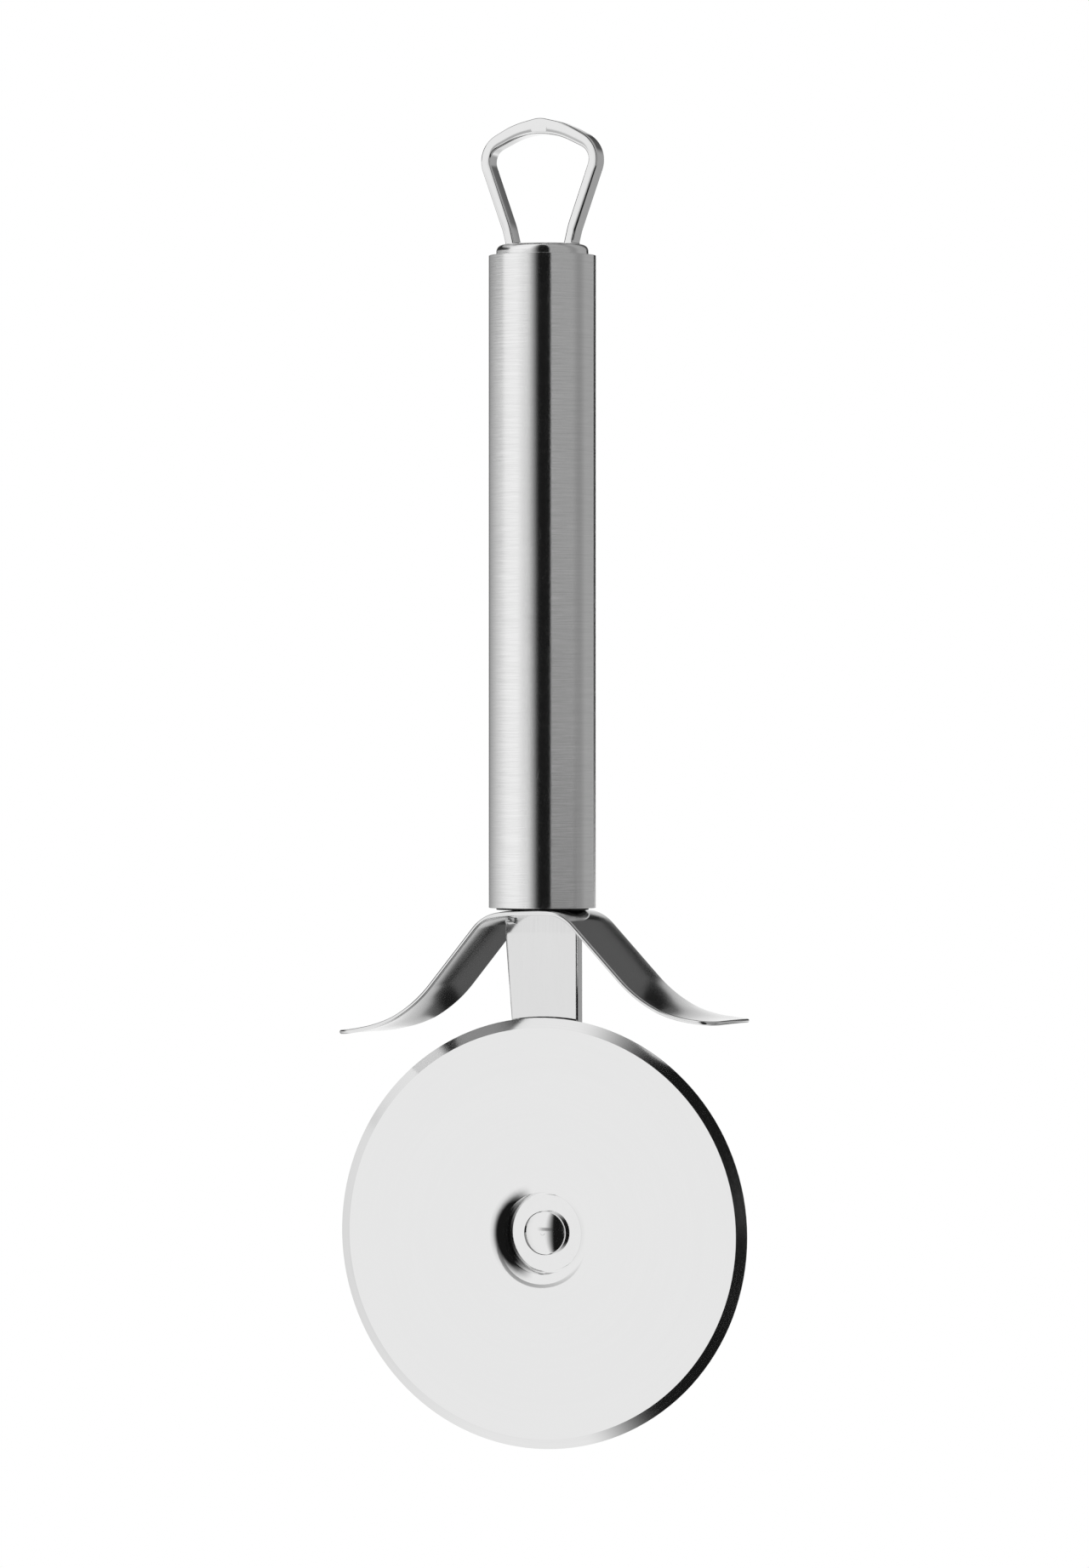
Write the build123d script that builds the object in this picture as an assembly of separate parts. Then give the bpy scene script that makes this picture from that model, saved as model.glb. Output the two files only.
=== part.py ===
from build123d import *
import os
from math import asin, atan2, cos, hypot, radians, sin, tan

os.makedirs("parts", exist_ok=True)

# A round-handled pizza cutter of stainless steel, hanging from its loop. Millimetres and degrees.
# The origin is the inside top of the hanging loop, where a hook bears.
# +Z is up, -Y is the side that shows the rivet head, +X is to the right of that side.

# Handle tube
tube_d = 18.2
tube_wall = 1.25
tube_length = 110.3
tube_edge_break = 0.2

# Caps pressed into the two ends of the tube
cap_sheet = 1.2
cap_skirt = 6.0
cap_clearance = 0.03
top_cap_rise = 1.85
top_cap_shoulder = 1.45
bottom_cap_rise = 0.1
bottom_cap_shoulder = 1.2

# Hanging loop: heights are above the top cap, half widths from the middle plane
loop_thickness = 3.6
loop_edge_break = 0.4
loop_foot_plain = 0.5
loop_foot_half = 6.05
loop_knee_half = 6.6
loop_knee_height = 2.3
loop_knee_round = 5.3
loop_shoulder_half = 11.64
loop_shoulder_height = 16.54
loop_shoulder_round = 5.0
loop_roof_half = 4.8
loop_roof_height = 20.35
loop_roof_round = 15.0
loop_peak_height = 21.5
loop_crown_round = 4.4
eye_foot_half = 4.36
eye_knee_half = 5.1
eye_knee_height = 3.15
eye_knee_round = 12.5
eye_shoulder_half = 9.44
eye_shoulder_height = 15.46
eye_shoulder_round = 2.5
eye_peak_height = 20.07
eye_crown_round = 12.2

# Finger guard: one sheet bent into a saddle, sitting a little askew, its right wing up and its left one
# longer by twice the offset
guard_sheet = 0.7
guard_width = 20.2
guard_half_length = 34.4
guard_offset = 0.4
guard_end_bulge = 0.4
guard_corner_round = 3.0
guard_crest_half = 7.15
guard_crest_round = 6.6
guard_slope = 49.0
guard_foot_half = 24.0
guard_tilt = 1.85

# Neck: a flat bar that leans back behind the wheel, with a narrower tang inside the handle
neck_thickness = 2.55
neck_front_y = -0.65
neck_width = 13.05
neck_straight = 4.6
neck_bend_round = 6.0
neck_pad_height = 10.0
neck_end_round = 4.6
neck_edge_break = 0.25
tang_width = 8.0
tang_length = 22.0
tang_clearance = 0.1
shoulder_clearance = 0.05

# Cutting wheel: sheet disc with one ground bevel and a pressed recess for the rivet
wheel_d = 73.0
wheel_sheet = 1.0
wheel_front_y = -0.8
wheel_land = 0.15
bevel_width = 1.7
recess_depth = 3.35
recess_mouth_r = 8.15
recess_mouth_slope = 28.0
recess_mouth_round = 4.7
recess_wall_slope = 86.0
recess_floor_r = 6.8
recess_back_break = 0.6
recess_back_round = 1.8
hub_drop = 55.0

# Bearing of the wheel: a sleeve clamped between two washers by the rivet
bush_d = 6.4
running_clearance = 0.05
washer_d = 13.0
front_washer_sheet = 0.4
rear_washer_sheet = 0.3
tail_washer_d = 9.0
tail_washer_sheet = 0.5
rivet_d = 4.0
rivet_clearance = 0.03
rivet_head_d = 7.5
rivet_head_edge = 1.1
rivet_head_dome = 1.0
rivet_edge_break = 0.15
rivet_tail_d = 6.4
rivet_tail_flat_d = 4.2
rivet_tail_height = 1.1

# How far a cutting solid runs past the piece that it cuts
overrun = 1.0

# Heights that follow from the sizes above
eye_crown_angle = atan2(eye_peak_height - eye_shoulder_height, eye_shoulder_half)
eye_height = eye_peak_height - eye_crown_round * (1 / cos(eye_crown_angle) - 1)
cap_top_z = -eye_height
tube_top_z = cap_top_z - top_cap_rise
tube_bottom_z = tube_top_z - tube_length
bottom_cap_z = tube_bottom_z - bottom_cap_rise
hub_z = bottom_cap_z - hub_drop

# Radii of the handle
tube_r = tube_d / 2
bore_r = tube_r - tube_wall
cap_r = bore_r - cap_clearance

# The guard's highest point touches the bottom cap, whatever its tilt
guard_lift = guard_crest_half - guard_crest_round * tan(radians(guard_slope) / 2)
guard_rise = guard_lift * sin(radians(guard_tilt)) + guard_crest_round * (1 - cos(radians(guard_tilt)))
guard_top_z = bottom_cap_z - guard_rise
guard_under_z = guard_top_z - guard_sheet / cos(radians(guard_tilt))

# Stack along the axle, from the front to the back
floor_front_y = wheel_front_y + recess_depth
front_washer_back_y = floor_front_y - running_clearance
front_washer_y = front_washer_back_y - front_washer_sheet
bush_length = wheel_sheet + 2 * running_clearance
rear_washer_y = front_washer_back_y + bush_length
pad_front_y = rear_washer_y + rear_washer_sheet
tail_washer_y = pad_front_y + neck_thickness
tail_y = tail_washer_y + tail_washer_sheet


def outline(corners):
    """Closed flat shape from (across, up, corner radius) triples."""
    points = [(across, up) for across, up, radius in corners]
    radii = [radius for across, up, radius in corners]
    return make_face(FilletPolyline(points, radius=radii, close=True))


def mirrored(corners):
    """The corners of a half outline, then the same corners on the other side, in reverse."""
    return corners + [(-across, up, radius) for across, up, radius in reversed(corners) if across != 0]


def turned_on_handle(corners):
    """Solid of revolution about the handle's own axis, from (radius, height, rounding)."""
    return revolve(Plane.XZ * outline(corners), axis=Axis.Z)


def turned_on_axle(corners):
    """Solid of revolution about the wheel's axle, from (radius, depth, rounding)."""
    axle = Axis((0, 0, hub_z), (0, 1, 0))
    return revolve(Plane.XY.offset(hub_z) * outline(corners), axis=axle)


def ring(outer_r, inner_r, front_y, thickness):
    """Washer or sleeve round the axle, with its front face at front_y."""
    back_y = front_y + thickness
    return turned_on_axle([
        (inner_r, front_y, 0),
        (outer_r, front_y, 0),
        (outer_r, back_y, 0),
        (inner_r, back_y, 0),
    ])


def handle_tube():
    """Plain tube, its outer edges just broken at both ends."""
    face_r = tube_r - tube_edge_break
    return turned_on_handle([
        (bore_r, tube_bottom_z, 0),
        (face_r, tube_bottom_z, 0),
        (tube_r, tube_bottom_z + tube_edge_break, 0),
        (tube_r, tube_top_z - tube_edge_break, 0),
        (face_r, tube_top_z, 0),
        (bore_r, tube_top_z, 0),
    ])


def pressed_cap(end_z, face_z, shoulder):
    """Cup of sheet steel in a tube end, standing out as far as face_z. shoulder is its outline there."""
    outward = 1 if face_z > end_z else -1
    skirt_z = end_z - outward * cap_skirt
    inner_z = face_z - outward * cap_sheet
    inner_r = cap_r - cap_sheet
    return turned_on_handle([
        (0, face_z, 0),
        *shoulder,
        (cap_r, skirt_z, 0),
        (inner_r, skirt_z, 0),
        (inner_r, inner_z, 0),
        (0, inner_z, 0),
    ])


def tang_slot(clearance):
    """The room that the tang takes, right through the guard and the bottom cap."""
    height = tang_length + guard_crest_half + overrun
    slot = Box(tang_width + 2 * clearance, neck_thickness + 2 * clearance, height)
    return Pos(0, neck_front_y + neck_thickness / 2, bottom_cap_z) * slot


def top_cap():
    """Cap that carries the loop: flat on top, with a soft shoulder."""
    return pressed_cap(tube_top_z, cap_top_z, [(cap_r, cap_top_z, top_cap_shoulder)])


def bottom_cap():
    """Cap with a sloping shoulder and a slot that the tang of the neck goes through."""
    slope = [(cap_r - bottom_cap_shoulder, bottom_cap_z, 0), (cap_r, bottom_cap_z + bottom_cap_shoulder, 0)]
    return pressed_cap(tube_bottom_z, bottom_cap_z, slope) - tang_slot(tang_clearance)


def hanging_loop():
    """Five-sided cast loop, open in the middle, its two feet welded on the top cap."""
    outer = mirrored([
        (loop_foot_half, 0, 0),
        (loop_knee_half, loop_knee_height, loop_knee_round),
        (loop_shoulder_half, loop_shoulder_height, loop_shoulder_round),
        (loop_roof_half, loop_roof_height, loop_roof_round),
        (0, loop_peak_height, loop_crown_round),
    ])
    eye = mirrored([
        (eye_foot_half, 0, 0),
        (eye_knee_half, eye_knee_height, eye_knee_round),
        (eye_shoulder_half, eye_shoulder_height, eye_shoulder_round),
        (0, eye_peak_height, eye_crown_round),
    ])
    body = extrude(Plane.XZ * outline(outer), amount=loop_thickness / 2, both=True)
    hole = extrude(Plane.XZ * outline(eye), amount=loop_thickness / 2 + overrun, both=True)
    loop = body - hole
    faces = loop.faces().sort_by(Axis.Y)
    face_edges = faces[0].edges() + faces[-1].edges()
    rim_edges = face_edges.filter_by(lambda edge: edge.center().Z > loop_foot_plain)
    loop = chamfer(rim_edges, loop_edge_break)
    return Pos(0, 0, cap_top_z) * loop


def sheet_corner(corner, slope_in, slope_out, radius):
    """The same corner on the underside of the guard's sheet, with a concentric rounding."""
    down_in = (-sin(slope_in), -cos(slope_in))
    down_out = (-sin(slope_out), -cos(slope_out))
    reach = guard_sheet / (1 + cos(slope_out - slope_in))
    across = corner[0] + reach * (down_in[0] + down_out[0])
    up = corner[1] + reach * (down_in[1] + down_out[1])
    return (across, up, radius)


def finger_guard():
    """Saddle over the wheel: flat on top, steep wings, and tips that flare out level."""
    slope = radians(guard_slope)
    reach = guard_half_length + guard_end_bulge + guard_offset + overrun
    foot_z = -(guard_foot_half - guard_crest_half) * tan(slope)
    foot_round = (guard_half_length - guard_foot_half) / tan(slope / 2)
    top = [
        (guard_crest_half, 0, guard_crest_round),
        (guard_foot_half, foot_z, foot_round),
        (reach, foot_z, 0),
    ]
    under = [
        sheet_corner(top[2], 0, 0, 0),
        sheet_corner(top[1], slope, 0, foot_round + guard_sheet),
        sheet_corner(top[0], 0, slope, guard_crest_round - guard_sheet),
    ]
    half_width = guard_width / 2
    sheet = extrude(Plane.XZ * outline(mirrored(top + under)), amount=half_width, both=True)
    square_half = guard_half_length - guard_end_bulge
    plan = make_face([
        Line((-square_half, -half_width), (square_half, -half_width)),
        ThreePointArc((square_half, -half_width), (guard_half_length, 0), (square_half, half_width)),
        Line((square_half, half_width), (-square_half, half_width)),
        ThreePointArc((-square_half, half_width), (-guard_half_length, 0), (-square_half, -half_width)),
    ])
    plan = Pos(-guard_offset, 0, 0) * fillet(plan.vertices(), guard_corner_round)
    guard = sheet & extrude(plan, amount=guard_half_length, both=True)
    return Pos(0, 0, guard_top_z) * Rot(0, -guard_tilt, 0) * guard - tang_slot(tang_clearance)


def neck():
    """Flat bar from the handle to the axle, with a tang above its shoulders."""
    lean_top_z = bottom_cap_z - neck_straight
    lean_bottom_z = hub_z + neck_pad_height
    tang_top_z = bottom_cap_z + tang_length
    end_z = hub_z - neck_end_round - overrun
    lean = atan2(pad_front_y - neck_front_y, lean_top_z - lean_bottom_z)
    back_shift = neck_thickness * tan(lean / 2)
    side = [
        (neck_front_y, tang_top_z, 0),
        (neck_front_y, lean_top_z, neck_bend_round + neck_thickness),
        (pad_front_y, lean_bottom_z, neck_bend_round),
        (pad_front_y, end_z, 0),
        (pad_front_y + neck_thickness, end_z, 0),
        (pad_front_y + neck_thickness, lean_bottom_z + back_shift, neck_bend_round + neck_thickness),
        (neck_front_y + neck_thickness, lean_top_z + back_shift, neck_bend_round),
        (neck_front_y + neck_thickness, tang_top_z, 0),
    ]
    bar = extrude(Plane.YZ * outline(side), amount=neck_width, both=True)

    # The shoulders follow the underside of the guard's bend, on the side where it hangs lower
    neck_half = neck_width / 2
    under_round = guard_crest_round - guard_sheet
    bend_angle = asin((neck_half - guard_lift) / under_round)
    under_drop = under_round * (1 - cos(bend_angle)) + neck_half * sin(radians(guard_tilt))
    seat_z = guard_under_z - tang_width / 2 * sin(radians(guard_tilt)) - shoulder_clearance
    shoulder_z = guard_under_z - under_drop - shoulder_clearance

    # The sides run from the shoulders to tangents of the round end
    hub_distance = hypot(neck_half, lean_top_z - hub_z)
    tangent = atan2(lean_top_z - hub_z, neck_half) - radians(90) + asin(neck_end_round / hub_distance)
    end_across = neck_end_round * cos(tangent)
    end_up = hub_z - neck_end_round * sin(tangent)
    front = make_face([
        Polyline(
            (end_across, end_up),
            (neck_half, lean_top_z),
            (neck_half, shoulder_z),
            (tang_width / 2, seat_z),
            (tang_width / 2, tang_top_z + overrun),
            (-tang_width / 2, tang_top_z + overrun),
            (-tang_width / 2, seat_z),
            (-neck_half, shoulder_z),
            (-neck_half, lean_top_z),
            (-end_across, end_up),
        ),
        ThreePointArc((-end_across, end_up), (0, hub_z - neck_end_round), (end_across, end_up)),
    ])
    reach = pad_front_y + neck_thickness + overrun
    blank = bar & extrude(Plane.XZ * front, amount=reach, both=True)

    def on_rim(edge):
        """True for the edges round the outline below the shoulders, and for no others."""
        middle = edge.center()
        beside = abs(middle.X) > end_across / 2 and middle.Z < shoulder_z - neck_edge_break
        return beside or middle.Z < end_up

    rim_edges = blank.edges().filter_by(on_rim).filter_by(Axis.Y, reverse=True)
    blank = chamfer(rim_edges, neck_edge_break)
    hole = ring(rivet_d / 2 + rivet_clearance, 0, pad_front_y - overrun, neck_thickness + 2 * overrun)
    return blank - hole


def cutting_wheel():
    """Disc of one sheet, ground to an edge, its middle pressed back to clear the rivet head."""
    wheel_r = wheel_d / 2
    back_y = wheel_front_y + wheel_sheet
    floor_back_y = floor_front_y + wheel_sheet
    hole_r = bush_d / 2 + running_clearance

    # The lip is where the mouth's easy slope meets the steep wall
    mouth = radians(recess_mouth_slope)
    wall = radians(recess_wall_slope)
    wall_run = recess_depth / tan(wall)
    lip_depth = (recess_mouth_r - recess_floor_r - wall_run) / (1 / tan(mouth) - 1 / tan(wall))
    lip_r = recess_mouth_r - lip_depth / tan(mouth)
    mouth_shift = wheel_sheet * tan(mouth / 2)
    wall_shift = wheel_sheet * tan(wall / 2)
    lip_reach = wheel_sheet / cos((wall - mouth) / 2)
    lip_angle = (wall + mouth) / 2
    return turned_on_axle([
        (hole_r, floor_front_y, 0),
        (recess_floor_r, floor_front_y, 0),
        (lip_r, wheel_front_y + lip_depth, 0),
        (recess_mouth_r, wheel_front_y, recess_mouth_round),
        (wheel_r - bevel_width, wheel_front_y, 0),
        (wheel_r, back_y - wheel_land, 0),
        (wheel_r, back_y, 0),
        (recess_mouth_r + mouth_shift, back_y, recess_back_round),
        (
            lip_r + lip_reach * sin(lip_angle),
            wheel_front_y + lip_depth + lip_reach * cos(lip_angle),
            0,
        ),
        (
            recess_floor_r + wall_shift + recess_back_break * cos(wall),
            floor_back_y - recess_back_break * sin(wall),
            0,
        ),
        (recess_floor_r + wall_shift - recess_back_break, floor_back_y, 0),
        (hole_r, floor_back_y, 0),
    ])


def front_washer():
    """Washer that the rivet head presses on the sleeve, in front of the wheel."""
    return ring(washer_d / 2, rivet_d / 2 + rivet_clearance, front_washer_y, front_washer_sheet)


def bearing_bush():
    """Sleeve a little longer than the sheet is thick, so that the wheel turns on it freely."""
    return ring(bush_d / 2, rivet_d / 2 + rivet_clearance, front_washer_back_y, bush_length)


def rear_washer():
    """Washer between the wheel and the neck."""
    return ring(washer_d / 2, rivet_d / 2 + rivet_clearance, rear_washer_y, rear_washer_sheet)


def tail_washer():
    """Washer behind the neck, under the hammered end of the rivet."""
    return ring(tail_washer_d / 2, rivet_d / 2 + rivet_clearance, tail_washer_y, tail_washer_sheet)


def rivet_head():
    """Head in front: a straight edge, its corner broken, then a spherical crown."""
    head_r = rivet_head_d / 2
    edge_y = front_washer_y - rivet_head_edge
    crown_y = edge_y - rivet_head_dome
    dome_r = head_r - rivet_edge_break
    crown_r = (dome_r ** 2 + rivet_head_dome ** 2) / (2 * rivet_head_dome)
    sweep_angle = asin(dome_r / crown_r) / 2
    middle = (crown_r * sin(sweep_angle), crown_y + crown_r * (1 - cos(sweep_angle)))
    section = make_face([
        Polyline(
            (0, crown_y),
            (0, front_washer_y),
            (head_r, front_washer_y),
            (head_r, edge_y + rivet_edge_break),
            (dome_r, edge_y),
        ),
        ThreePointArc((dome_r, edge_y), middle, (0, crown_y)),
    ])
    return revolve(Plane.XY.offset(hub_z) * section, axis=Axis((0, 0, hub_z), (0, 1, 0)))


def axle_rivet():
    """Rivet: domed head in front, plain shank, and a blunt cone hammered over at the back."""
    shank = ring(rivet_d / 2, 0, front_washer_y, tail_y - front_washer_y)
    tail = turned_on_axle([
        (0, tail_y, 0),
        (rivet_tail_d / 2, tail_y, 0),
        (rivet_tail_flat_d / 2, tail_y + rivet_tail_height, 0),
        (0, tail_y + rivet_tail_height, 0),
    ])
    return rivet_head() + shank + tail


nodes = {
    "handle_tube": handle_tube,
    "top_cap": top_cap,
    "hanging_loop": hanging_loop,
    "bottom_cap": bottom_cap,
    "finger_guard": finger_guard,
    "neck": neck,
    "cutting_wheel": cutting_wheel,
    "axle_rivet": axle_rivet,
    "front_washer": front_washer,
    "bearing_bush": bearing_bush,
    "rear_washer": rear_washer,
    "tail_washer": tail_washer,
}

for name, build in nodes.items():
    export_step(build(), f"parts/{name}.step")

print(f"cap top {cap_top_z:.2f}, hub {hub_z:.2f}, lowest {hub_z - wheel_d / 2:.2f} mm")
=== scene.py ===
# %% [markdown]
# This lesson dresses a steel pizza cutter for a product picture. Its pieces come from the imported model,
# already at their real size and place, so the first cell only loads them. Everything here is in metres,
# +Z is up, and the origin is the inside top of the hanging loop.

import cmath
import math

import bmesh
import bpy
import numpy
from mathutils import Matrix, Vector


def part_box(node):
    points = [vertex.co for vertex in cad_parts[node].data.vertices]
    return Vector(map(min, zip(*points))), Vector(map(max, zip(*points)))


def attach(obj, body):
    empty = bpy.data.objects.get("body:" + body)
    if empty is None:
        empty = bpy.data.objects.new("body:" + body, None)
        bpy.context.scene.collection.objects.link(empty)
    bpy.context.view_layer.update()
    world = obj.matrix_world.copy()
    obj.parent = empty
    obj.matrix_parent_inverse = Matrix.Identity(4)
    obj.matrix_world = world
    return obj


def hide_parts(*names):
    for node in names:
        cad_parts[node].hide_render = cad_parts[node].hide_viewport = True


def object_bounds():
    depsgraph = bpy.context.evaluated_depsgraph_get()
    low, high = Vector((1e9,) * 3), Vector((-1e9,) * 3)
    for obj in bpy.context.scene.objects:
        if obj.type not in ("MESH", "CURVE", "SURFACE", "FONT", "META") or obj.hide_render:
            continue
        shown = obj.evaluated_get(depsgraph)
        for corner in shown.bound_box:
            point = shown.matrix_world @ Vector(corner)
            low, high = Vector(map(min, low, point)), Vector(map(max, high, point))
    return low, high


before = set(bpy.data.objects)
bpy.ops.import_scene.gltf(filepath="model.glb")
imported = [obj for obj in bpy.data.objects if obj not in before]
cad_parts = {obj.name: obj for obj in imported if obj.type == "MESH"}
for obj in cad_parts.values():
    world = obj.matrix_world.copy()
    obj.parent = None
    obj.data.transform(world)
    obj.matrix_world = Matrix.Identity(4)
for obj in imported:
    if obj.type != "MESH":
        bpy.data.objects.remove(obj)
cad_low, cad_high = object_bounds()
MM = 0.001
print("nodes:", sorted(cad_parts))

# %% [markdown]
# Places are read from the pieces themselves, never typed again. The axle is in the middle of the rivet,
# and the wheel's radius is half its width.

# %% Places read from the pieces
def middle_of(node):
    low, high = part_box(node)
    return (Vector(low) + Vector(high)) / 2


def size_of(node):
    low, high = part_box(node)
    return Vector(high) - Vector(low)


axle = middle_of("axle_rivet")
wheel_radius = size_of("cutting_wheel").x / 2
print(f"axle at {axle.z / MM:.1f} mm, wheel radius {wheel_radius / MM:.1f} mm")

# %% [markdown]
# The photograph was taken with a long lens from a little over a metre, level with the lower part of the
# handle and twenty degrees round to the right. A long lens keeps the tall tool free of perspective.
# The lens follows from one measure: how many pixels a millimetre takes at the handle.

# %% Camera
PHOTO_HEIGHT = 1843
PHOTO_CENTRE = (640.0, 921.5)
HANDLE_COLUMN = 637.7
LOOP_ROW = 158.1
HORIZON_ROW = 900.0
PIXELS_PER_MM = 6.947
CAMERA_AZIMUTH = math.radians(20.15)
CAMERA_DISTANCE = 1.3
SENSOR = 36.0


def height_of_row(row):
    """Height, at the handle's axis, that a row of the photograph shows."""
    return -(row - LOOP_ROW) / PIXELS_PER_MM * MM


def add_camera():
    away = Vector((math.sin(CAMERA_AZIMUTH), -math.cos(CAMERA_AZIMUTH), 0))
    right = Vector((math.cos(CAMERA_AZIMUTH), math.sin(CAMERA_AZIMUTH), 0))
    aside = right * ((PHOTO_CENTRE[0] - HANDLE_COLUMN) / PIXELS_PER_MM * MM)
    eye = away * CAMERA_DISTANCE + aside + Vector((0, 0, height_of_row(HORIZON_ROW)))
    target = aside + Vector((0, 0, height_of_row(PHOTO_CENTRE[1])))
    data = bpy.data.cameras.new("camera")
    data.sensor_fit = "VERTICAL"
    data.sensor_height = SENSOR
    data.lens = SENSOR * PIXELS_PER_MM * (CAMERA_DISTANCE / MM) / PHOTO_HEIGHT
    camera = bpy.data.objects.new("camera", data)
    camera.location = eye
    camera.rotation_euler = (target - eye).to_track_quat("-Z", "Y").to_euler()
    bpy.context.scene.collection.objects.link(camera)
    bpy.context.scene.camera = camera
    return camera


camera = add_camera()
bpy.context.scene.view_settings.view_transform = "Standard"
print(f"lens {camera.data.lens:.1f} mm")

# %% [markdown]
# Shader trees are easier to read when one short call makes a node and wires it. These two helpers are
# used by every material below.

# %% Node helpers
def add_node(tree, kind, settings=None, **inputs):
    """Makes one node. settings are its properties; inputs are values or sockets, by input name or i0, i1."""
    node = tree.nodes.new(kind)
    for name, value in (settings or {}).items():
        setattr(node, name, value)
    for name, value in inputs.items():
        key = int(name[1:]) if name[0] == "i" and name[1:].isdigit() else name.replace("_", " ")
        socket = node.inputs[key]
        if isinstance(value, bpy.types.NodeSocket):
            tree.links.new(value, socket)
        else:
            socket.default_value = value
    return node


def math_node(tree, operation, *values):
    inputs = {f"i{number}": value for number, value in enumerate(values)}
    return add_node(tree, "ShaderNodeMath", {"operation": operation}, **inputs).outputs[0]


def new_material(name):
    material = bpy.data.materials.new(name)
    material.use_nodes = True
    material.node_tree.nodes.clear()
    return material, material.node_tree


def grey(value):
    return (value, value, value, 1)


# %% [markdown]
# Polished steel has no colour of its own to speak of: it shows the studio. So the studio is built first,
# as a photographer builds it for cutlery. The background is white all round. Where the photograph's
# steel is dark, a black or grey board stands outside the picture. The boards are curved sheets round the
# tool, seen only by reflections, and their edges fade, because the real ones are out of focus.

# %% Group: a board with soft edges
def board_mask_group():
    """Mask that is 1 on a board and fades to 0 at its edges. Fades are shares of the board's size."""
    tree = bpy.data.node_groups.new("board mask", "ShaderNodeTree")
    for name in ("Across", "Up", "Fade left", "Fade right", "Fade bottom", "Fade top"):
        tree.interface.new_socket(name, in_out="INPUT", socket_type="NodeSocketFloat")
    tree.interface.new_socket("Mask", in_out="OUTPUT", socket_type="NodeSocketFloat")
    start = tree.nodes.new("NodeGroupInput")
    end = tree.nodes.new("NodeGroupOutput")

    def fade(place, width):
        smooth = {"interpolation_type": "SMOOTHSTEP"}
        return add_node(tree, "ShaderNodeMapRange", smooth, Value=place, From_Max=width).outputs[0]

    across = start.outputs["Across"]
    up = start.outputs["Up"]
    left = fade(across, start.outputs["Fade left"])
    right = fade(math_node(tree, "SUBTRACT", 1, across), start.outputs["Fade right"])
    bottom = fade(up, start.outputs["Fade bottom"])
    top = fade(math_node(tree, "SUBTRACT", 1, up), start.outputs["Fade top"])
    sides = math_node(tree, "MULTIPLY", left, right)
    ends = math_node(tree, "MULTIPLY", bottom, top)
    tree.links.new(math_node(tree, "MULTIPLY", sides, ends), end.inputs["Mask"])
    return tree


board_mask = board_mask_group()
print("group made:", board_mask.name)

# %% [markdown]
# Each board is a piece of a cylinder round the tool, given by the angles that it takes up as seen from the
# tool. That way a dark place in the photograph can be traced back to its board from the steel's own slope.

# %% Helper: one board
STUDIO_ROW = 1200.0
STUDIO_MIDDLE = height_of_row(STUDIO_ROW)
BOARD_RADIUS = 0.9
BOARD_STEPS = 24


def add_board(name, azimuths, elevations, level, fades, radius=BOARD_RADIUS):
    """A curved board, of a grey level. Azimuth 0 is in front of the tool, along -Y, and grows towards +X.
    Elevation 0 is level with the guard's wings. Both are in degrees. fades are the shares of the board's
    width and height over which its left, right, bottom and top edges fade. A nearer board, with a
    smaller radius, hides a farther one."""
    mesh = bpy.data.meshes.new(name)
    shape = bmesh.new()
    uv = shape.loops.layers.uv.new("place")
    heights = [STUDIO_MIDDLE + radius * math.tan(math.radians(angle)) for angle in elevations]
    columns = []
    for step in range(BOARD_STEPS + 1):
        share = step / BOARD_STEPS
        azimuth = math.radians(azimuths[0] + (azimuths[1] - azimuths[0]) * share)
        across = radius * math.sin(azimuth)
        ahead = -radius * math.cos(azimuth)
        columns.append([shape.verts.new((across, ahead, height)) for height in heights])
    for step in range(BOARD_STEPS):
        face = shape.faces.new((*columns[step], *reversed(columns[step + 1])))
        places = [(step, 0), (step, 1), (step + 1, 1), (step + 1, 0)]
        for loop, (column, up) in zip(face.loops, places):
            loop[uv].uv = (column / BOARD_STEPS, up)
    shape.to_mesh(mesh)
    shape.free()

    material, tree = new_material(name)
    coordinates = add_node(tree, "ShaderNodeUVMap", {"uv_map": "place"})
    parts = add_node(tree, "ShaderNodeSeparateXYZ", Vector=coordinates.outputs[0])
    mask = add_node(
        tree, "ShaderNodeGroup", {"node_tree": board_mask},
        Across=parts.outputs[0], Up=parts.outputs[1],
        Fade_left=fades[0], Fade_right=fades[1], Fade_bottom=fades[2], Fade_top=fades[3],
    )
    board = add_node(tree, "ShaderNodeEmission", Color=grey(level))
    clear = add_node(tree, "ShaderNodeBsdfTransparent")
    mix = add_node(tree, "ShaderNodeMixShader", i0=mask.outputs[0], i1=clear.outputs[0], i2=board.outputs[0])
    add_node(tree, "ShaderNodeOutputMaterial", Surface=mix.outputs[0])
    mesh.materials.append(material)
    board_object = bpy.data.objects.new(name, mesh)
    bpy.context.scene.collection.objects.link(board_object)
    for rays in ("camera", "diffuse", "transmission", "volume_scatter", "shadow"):
        setattr(board_object, f"visible_{rays}", False)
    print(f"{name}: {azimuths[0]} to {azimuths[1]} degrees round, level {level}")


# %% [markdown]
# Each board answers for a place in the photograph where the steel isn't white. The tall black one by the
# camera does most: it is the stripe down the handle, the crescent in the wheel's recess and the dark side
# of the bevel. Where two boards overlap, the nearer one is seen.

# %% Boards round the tool
# By the camera: the dark stripe, the crescent and the bevel.
add_board("board_camera", (-17, 38.6), (-72, 82), 0.010, (0.54, 0.01, 0.05, 0.05))
# To its left: the shade beside the stripe and under the loop's crown.
add_board("board_shade", (-40, 20), (0.7, 10.5), 0.42, (0.47, 0.45, 0.12, 0.15), radius=0.93)
# On the right, with a darker middle: the grey side of the handle and the loop.
add_board("board_right", (38.2, 168), (-70, 82), 0.405, (0.01, 0.05, 0.1, 0.05))
add_board("board_right_dip", (84, 128), (-70, 82), 0.30, (0.5, 0.5, 0.1, 0.05), radius=0.87)
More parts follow.
